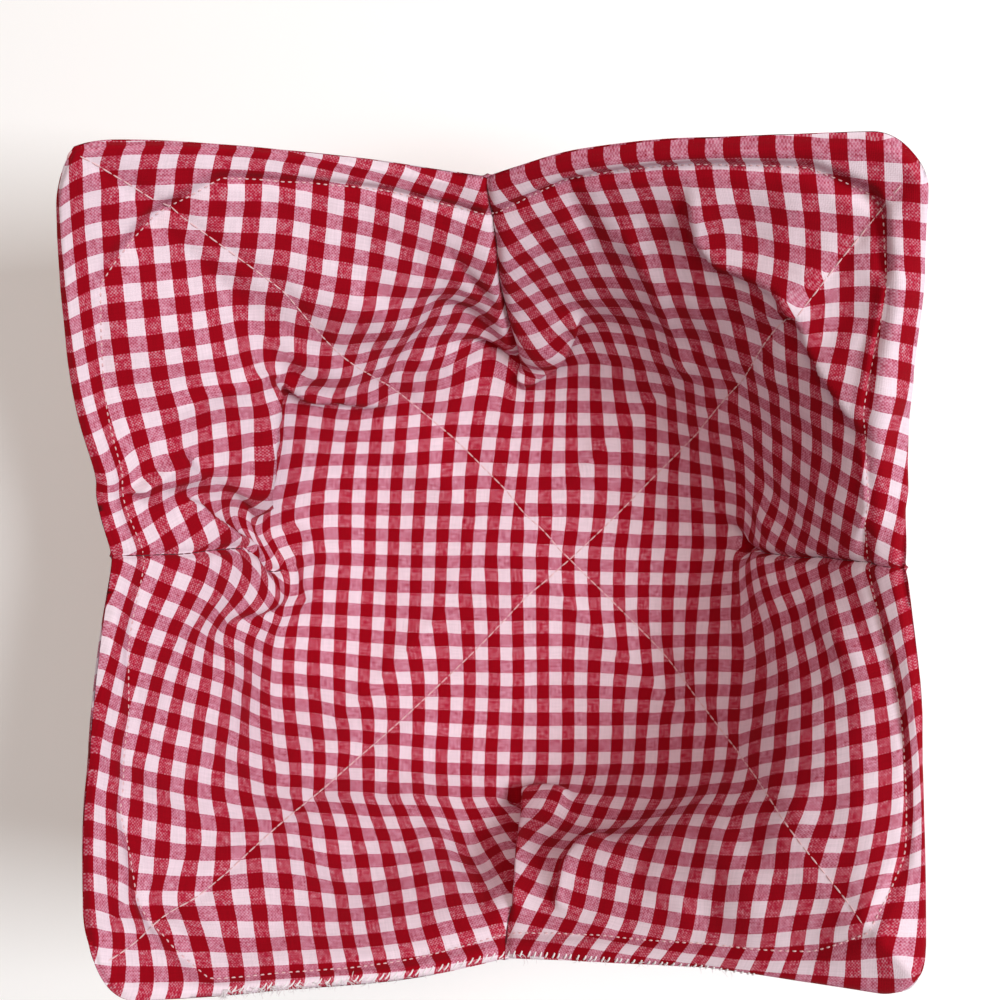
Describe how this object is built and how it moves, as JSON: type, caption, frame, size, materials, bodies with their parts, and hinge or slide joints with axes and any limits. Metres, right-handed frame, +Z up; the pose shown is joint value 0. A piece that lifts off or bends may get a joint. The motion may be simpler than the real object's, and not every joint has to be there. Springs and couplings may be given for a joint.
{
  "type": "bowl cozy",
  "caption": "Quilted checked-cotton cozy: a soft darted bowl with raised corners that holds a hot soup bowl.",
  "frame": {"origin": "centre of the outline seen from above, on the table under the floor of the cozy", "axes": "+Z up out of the open bowl, +X to the right of the cozy as it is pictured, +Y to its back"},
  "size_m": [0.167, 0.1644, 0.0946],
  "materials": {
    "gingham_inside": "matt plain-weave cotton in a red and white check",
    "gingham_outside": "matt plain-weave cotton in a red and white check"
  },
  "bodies": {
    "root": {"inner_panel": "gingham_inside", "outer_panel": "gingham_outside"}
  },
  "joints": []
}
